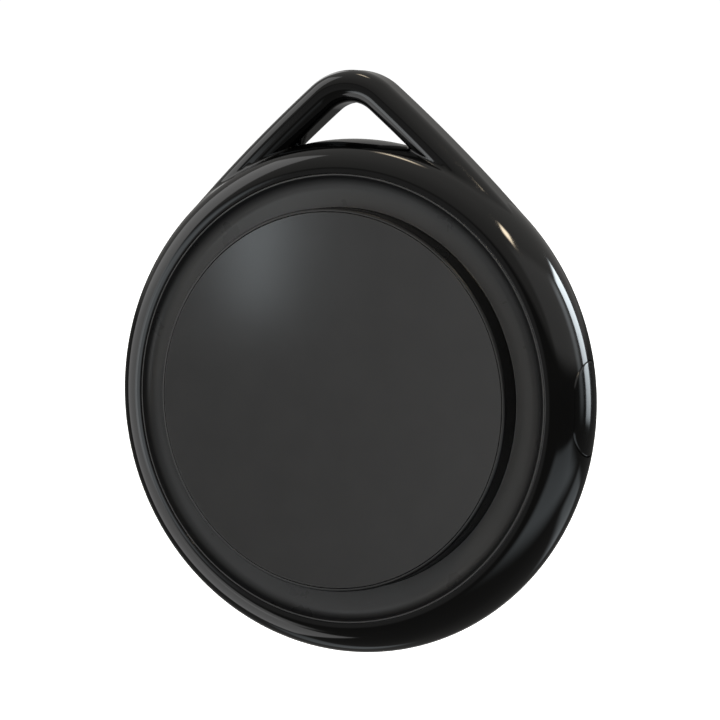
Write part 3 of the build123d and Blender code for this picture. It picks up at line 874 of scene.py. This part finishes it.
def make_room_lights():
    """The panels that light every piece."""
    softbox("main_softbox", azimuth=-64.5, elevation=-2, wide=46, high=108, strength=1.5, foot=1.4,
            roll=-6, soft=(0.05, 0.04))
    softbox("warm_spot", azimuth=46, elevation=50, wide=22, high=7, strength=26, colour=WARM,
            roll=-42, soft=(0.4, 0.3))
    softbox("warm_top", azimuth=-82, elevation=81, wide=8, high=20, strength=12, colour=WARM,
            roll=34, soft=(0.4, 0.4))
    softbox("edge_strip", azimuth=134.8, elevation=12, wide=19, high=44, strength=16, colour=COOL,
            foot=2, soft=(0.08, 0.08))
    softbox("edge_wing", azimuth=112, elevation=14, wide=18, high=50, strength=2.0, colour=COOL,
            foot=0.4, soft=(0.45, 0.2))
    softbox("right_fill", azimuth=72, elevation=28, wide=100, high=44, strength=0.3)
    softbox("back_left", azimuth=-150, elevation=-18, wide=52, high=34, strength=0.15)
    softbox("back_strip", azimuth=-135, elevation=32, wide=18, high=36, strength=1.5, roll=10,
            soft=(0.3, 0.2))
    floor_panel("low_front", azimuth=55, near=0.38, far=1.9, width=2.6, strength=1.15)
    floor_panel("low_right", azimuth=142, near=0.55, far=1.4, width=0.75, strength=0.9)
    floor_panel("low_back", azimuth=-120, near=0.22, far=0.42, width=0.5, strength=0.6)


def make_front_lights():
    """The upright sheen on the face and the grey of the flat surfaces in front."""
    sheen = near_panel("face_sheen", x_span=(-26.7, -19.7), z_span=(2, 19), away=32, low=3.9, high=7.3,
                       soft=(0.5, 0.25))
    light_only(sheen, "face_plate", "front_bezel")
    fill = softbox("front_fill", azimuth=-13, elevation=-2, wide=30, high=34, strength=0.75, soft=(0.3, 0.3))
    light_only(fill, "face_plate", "front_bezel")
    side = softbox("side_fill", azimuth=45, elevation=-15, wide=30, high=30, strength=2.6, soft=(0.3, 0.3))
    light_only(side, "front_bezel")


def make_rim_lights():
    """The light in the front of the rim."""
    wing = softbox("main_wing", azimuth=-37.5, elevation=-16, wide=10, high=40, strength=1.3,
                   soft=(0.25, 0.2))
    lip = softbox("lip_fill", azimuth=-26, elevation=-4, wide=24, high=24, strength=0.18, soft=(0.3, 0.3))
    rim = near_panel("rim_light", x_span=(-78, -36), z_span=(-26, 24), away=60, low=1.5, high=1.2,
                     soft=(0.15, 0.25))
    for light in (wing, lip, rim):
        light_only(light, "housing_shell")


def make_floor():
    """A pale floor below the tag. It casts nothing and stays out of the tag's reflections."""
    made = bpy.data.materials.new("floor")
    made.use_nodes = True
    tree = made.node_tree
    shader = tree.nodes["Principled BSDF"]
    tree.links.new(blended(tree, noise(tree, FLOOR_SPECKLE, 4), *FLOOR_TONES), shader.inputs["Base Color"])
    shader.inputs["Roughness"].default_value = FLOOR_ROUGHNESS
    shader.inputs["Emission Color"].default_value = (1, 1, 1, 1)
    shader.inputs["Emission Strength"].default_value = FLOOR_GLOW
    mesh = bpy.data.meshes.new("floor")
    half, z = FLOOR_SIZE / 2, -FLOOR_DROP
    corners = [(-half, -half, z), (half, -half, z), (half, half, z), (-half, half, z)]
    mesh.from_pydata(corners, [], [(0, 1, 2, 3)])
    mesh.materials.append(made)
    floor = bpy.data.objects.new("floor", mesh)
    bpy.context.scene.collection.objects.link(floor)
    floor.visible_glossy = False
    floor.visible_diffuse = False
    floor.visible_shadow = False


def make_world():
    """The room: white to the camera, and otherwise grey above, dark about the horizon and below."""
    world = bpy.data.worlds.new("studio")
    bpy.context.scene.world = world
    world.use_nodes = True
    tree = world.node_tree
    tree.nodes.clear()
    up = node(tree, "ShaderNodeTexCoord").outputs["Generated"]
    up = node(tree, "ShaderNodeSeparateXYZ", {0: up}).outputs[2]
    up = node(tree, "ShaderNodeMapRange", {0: up, 1: -1}).outputs[0]
    ramp = node(tree, "ShaderNodeValToRGB", {0: up})
    stops = ramp.color_ramp.elements
    for k, (place, level) in enumerate(ROOM_LEVELS):
        stop = stops[k] if k < 2 else stops.new(place)
        stop.position = place
        stop.color = (*(level * channel for channel in ROOM_TINT), 1)
    seen = node(tree, "ShaderNodeLightPath").outputs["Is Camera Ray"]
    dim = node(tree, "ShaderNodeBackground", {0: ramp.outputs[0]}).outputs[0]
    white = node(tree, "ShaderNodeBackground", {0: (1, 1, 1, 1), 1: BACKDROP_LEVEL}).outputs[0]
    both = node(tree, "ShaderNodeMixShader", {0: seen, 1: dim, 2: white}).outputs[0]
    node(tree, "ShaderNodeOutputWorld", {0: both})


def hairlines(tree, per_mm, turn):
    """Fine scratches, where a stretched noise crosses its middle, broken up by a coarser one."""
    wander = noise(tree, per_mm, 1.0, (1, 0.08, 0.08), turn)
    off_middle = maths(tree, "ABSOLUTE", maths(tree, "SUBTRACT", wander, 0.5))
    line = levels(tree, off_middle, 0.0, SCRATCH_WIDTH, 1.0, 0.0)
    gaps = levels(tree, noise(tree, per_mm / 3, 1.0), 0.5, 0.62)
    return maths(tree, "MULTIPLY", line, gaps)


def scratched(tree, share):
    """Two families of hairlines that cross."""
    lines = maths(tree, "ADD", hairlines(tree, 1.6, (0.3, 0.2, 0.9)), hairlines(tree, 1.1, (0.9, 1.3, 0.1)))
    return maths(tree, "MULTIPLY", lines, share)


def rubbed_edges(tree, wear):
    """Wear in patches along a piece's sharp outer edges, and none away from them."""
    rounded = node(tree, "ShaderNodeBevel", {"Radius": WEAR_RADIUS}, samples=4).outputs[0]
    flat = node(tree, "ShaderNodeNewGeometry").outputs["Normal"]
    same = node(tree, "ShaderNodeVectorMath", {0: rounded, 1: flat}, operation="DOT_PRODUCT")
    edges = levels(tree, same.outputs["Value"], 0.995, 0.8)
    patchy = levels(tree, noise(tree, WEAR_SCALE, 4.0), 0.35, 0.65, 0.5 * wear, wear)
    return maths(tree, "MULTIPLY", edges, patchy)


def bumped(tree, height, depth, below=None):
    """A bump of a real depth, on top of another bump's normal."""
    made = node(tree, "ShaderNodeBump", {"Strength": 1.0, "Distance": depth, "Height": height})
    if below:
        tree.links.new(below, made.inputs["Normal"])
    return made.outputs[0]


def surface(slot, dark, light, rough, grain, wear=0.4, scratches=0.3, metallic=0.0, brush=(1, 1, 1),
            wave=None):
    """A finish for one material slot. rough is the least and most roughness, grain is (repeats in a
    millimetre, depth), wave is a slow unevenness given the same way, and brush stretches the grain."""
    made = bpy.data.materials.new(slot + "_finish")
    finishes[slot] = made
    made.use_nodes = True
    tree = made.node_tree
    shader = tree.nodes["Principled BSDF"]
    fine = noise(tree, grain[0], 3.0, brush)
    cloud = noise(tree, CLOUD_SCALE, 5.0)
    lines = scratched(tree, scratches)
    worn = rubbed_edges(tree, wear)
    mottle = levels(tree, cloud, 0.3, 0.7, 0.0, 0.7)
    mottle = maths(tree, "ADD", mottle, levels(tree, fine, 0.3, 0.7, 0.0, 0.3))
    tone = blended(tree, mottle, (*dark, 1), (*light, 1))
    rubbed = [min(1.0, channel * WEAR_GAIN + WEAR_GREY * (1 - metallic)) for channel in light]
    tree.links.new(blended(tree, worn, tone, (*rubbed, 1)), shader.inputs["Base Color"])
    dull = levels(tree, cloud, 0.3, 0.7, *rough)
    dull = maths(tree, "ADD", dull, maths(tree, "MULTIPLY", lines, 0.3))
    dull = maths(tree, "ADD", dull, maths(tree, "MULTIPLY", worn, 0.1))
    tree.links.new(dull, shader.inputs["Roughness"])
    normal = bumped(tree, fine, grain[1])
    if wave:
        normal = bumped(tree, noise(tree, wave[0], 1.0), wave[1], normal)
    tree.links.new(bumped(tree, lines, -SCRATCH_DEPTH, normal), shader.inputs["Normal"])
    shader.inputs["Metallic"].default_value = metallic
    return tree


def grey(level, blue=None):
    """A neutral colour, or one with its blue a little different."""
    return (level, level, level if blue is None else blue)


def make_plastics():
    surface("housing_gloss", grey(0.0010), grey(0.0018), rough=(0.05, 0.09), grain=(9, 0.00004 * MM),
            wear=0.2, scratches=0.25, wave=(0.3, 0.0006 * MM))
    surface("button_gloss", grey(0.0012), grey(0.0022), rough=(0.07, 0.12), grain=(9, 0.00006 * MM),
            wear=0.2, scratches=0.25)
    surface("face_matte", grey(0.036, 0.0365), grey(0.040, 0.0405), rough=(0.225, 0.235),
            grain=(16, 0.0006 * MM), wear=0.6, scratches=0.05)
    surface("cover_satin", grey(0.013, 0.0135), grey(0.019, 0.0195), rough=(0.38, 0.46),
            grain=(11, 0.004 * MM), wear=0.7)
    surface("door_matte", grey(0.017, 0.0175), grey(0.024, 0.025), rough=(0.42, 0.5),
            grain=(11, 0.005 * MM), wear=0.7, scratches=0.4)
    surface("cradle_plastic", grey(0.055, 0.057), grey(0.08, 0.082), rough=(0.4, 0.52),
            grain=(7, 0.004 * MM), wear=0.5, brush=(1, 0.2, 1))
    surface("gasket_plastic", grey(0.42, 0.4), grey(0.56, 0.54), rough=(0.35, 0.5),
            grain=(9, 0.002 * MM), wear=0.2, scratches=0.1)


def make_insert_finish():
    """Satin grey on the trough's floor and at the lip, painted shade up the cove, and black on the boss's
    wall.
    """
    tree = surface("insert_satin", grey(0.068, 0.0685), grey(0.074, 0.0745), rough=(0.27, 0.3),
                   grain=(14, 0.0004 * MM), wear=0.0, scratches=0.0)
    shader = tree.nodes["Principled BSDF"]
    satin = shader.inputs["Base Color"].links[0].from_socket
    where = node(tree, "ShaderNodeTexCoord").outputs["Object"]
    where = node(tree, "ShaderNodeVectorMath", {0: where, 1: (1, 0, 1)}, operation="MULTIPLY").outputs[0]
    radius = node(tree, "ShaderNodeVectorMath", {0: where}, operation="LENGTH").outputs["Value"]
    # Painted shade: the cove's colour fades from satin grey to near black towards the lip.
    floor = levels(tree, radius, TROUGH_R + COVE_SHADE_FADE[0], TROUGH_R + COVE_SHADE_FADE[1], 1.0, 0.0)
    land = maths(tree, "GREATER_THAN", radius, INSERT_R - LIP_LAND)
    tone = blended(tree, maths(tree, "ADD", floor, land), COVE_PAINTED_SHADE, satin)
    inside = maths(tree, "LESS_THAN", radius, BOSS_R + ROOT_R / 2)
    past_edge = levels(tree, radius, BOSS_R - BOSS_EDGE_R, BOSS_R - BOSS_EDGE_R / 3)
    tone = blended(tree, maths(tree, "MULTIPLY", inside, past_edge), tone, WALL_BLACK)
    tree.links.new(tone, shader.inputs["Base Color"])
    shader.inputs["Specular IOR Level"].default_value = 0.2


def make_soft_and_fired():
    """Rubber, adhesive, epoxy, ceramics and the cell's core."""
    surface("seal_rubber", grey(0.012), grey(0.022), rough=(0.6, 0.75), grain=(8, 0.004 * MM),
            wear=0.2, scratches=0.0)
    surface("adhesive_film", (0.52, 0.51, 0.48), (0.66, 0.65, 0.62), rough=(0.5, 0.7),
            grain=(12, 0.006 * MM), wear=0.1, scratches=0.0)
    surface("chip_epoxy", grey(0.012, 0.013), grey(0.022, 0.023), rough=(0.5, 0.65),
            grain=(14, 0.003 * MM), wear=0.3, scratches=0.2)
    surface("antenna_ceramic", (0.66, 0.63, 0.55), (0.78, 0.76, 0.7), rough=(0.25, 0.4),
            grain=(12, 0.002 * MM), wear=0.2, scratches=0.1)
    surface("sounder_ceramic", (0.62, 0.6, 0.52), (0.74, 0.71, 0.63), rough=(0.35, 0.5),
            grain=(15, 0.003 * MM), wear=0.2, scratches=0.2)
    surface("cell_core_mix", grey(0.03, 0.031), grey(0.075, 0.074), rough=(0.7, 0.9),
            grain=(6, 0.01 * MM), wear=0.1, scratches=0.0)


def make_metals():
    """Rolled and brushed metals, with the grain drawn out along one axis."""
    surface("tin_steel", grey(0.55, 0.54), grey(0.72, 0.71), rough=(0.22, 0.38), grain=(6, 0.001 * MM),
            wear=0.3, scratches=0.5, metallic=1.0, brush=(1, 1, 0.06))
    surface("cell_steel", (0.6, 0.59, 0.57), (0.76, 0.75, 0.73), rough=(0.18, 0.32),
            grain=(7, 0.001 * MM), wear=0.3, scratches=0.6, metallic=1.0, brush=(1, 1, 0.05))
    surface("screw_steel", grey(0.25, 0.26), grey(0.42, 0.43), rough=(0.25, 0.4), grain=(8, 0.002 * MM),
            wear=0.6, scratches=0.5, metallic=1.0)
    surface("sounder_brass", (0.62, 0.45, 0.2), (0.8, 0.62, 0.32), rough=(0.22, 0.36),
            grain=(7, 0.001 * MM), scratches=0.5, metallic=1.0, brush=(0.06, 1, 1))
    surface("spring_metal", (0.66, 0.52, 0.24), (0.84, 0.7, 0.4), rough=(0.2, 0.34),
            grain=(7, 0.001 * MM), scratches=0.5, metallic=1.0, brush=(0.06, 1, 1))


def make_board_finish():
    """Dark solder mask over fine copper tracks."""
    tree = surface("board_laminate", (0.006, 0.014, 0.010), (0.012, 0.024, 0.017), rough=(0.22, 0.34),
                   grain=(10, 0.002 * MM), wear=0.3, scratches=0.2)
    shader = tree.nodes["Principled BSDF"]
    mask = shader.inputs["Base Color"].links[0].from_socket
    where = node(tree, "ShaderNodeTexCoord").outputs["Object"]
    scale = (TRACKS_PER_M, 1, TRACKS_PER_M)
    where = node(tree, "ShaderNodeMapping", {"Vector": where, "Scale": scale}).outputs[0]
    tracks = node(tree, "ShaderNodeTexBrick", {"Vector": where, "Scale": 1.0, "Mortar Size": 0.04},
                  offset=0.37).outputs["Fac"]
    shown = maths(tree, "MULTIPLY", tracks, levels(tree, noise(tree, 0.4, 1.0), 0.45, 0.5))
    tree.links.new(blended(tree, shown, mask, TRACK_TINT), shader.inputs["Base Color"])


def dress():
    """Gives every piece and every CAD node the finish of its slot."""
    slots = {row["node"]: row["material_slot"] for row in frame["record"]["subparts"]}
    dressed = {o: slots[name] for name, o in frame["nodes"].items()}
    dressed |= {o: o["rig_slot"] for o in bpy.context.scene.objects if "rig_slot" in o}
    for piece, slot in dressed.items():
        piece.data.materials.clear()
        piece.data.materials.append(finishes[slot])


make_housing()
make_front_insert()
make_face()
make_button()
make_rear_cover()
make_door()
make_seal()
make_camera()
make_room_lights()
make_front_lights()
make_rim_lights()
make_plastics()
make_insert_finish()
make_soft_and_fired()
make_metals()
make_board_finish()
dress()
make_floor()
make_world()
bpy.context.scene.view_settings.view_transform = "Standard"
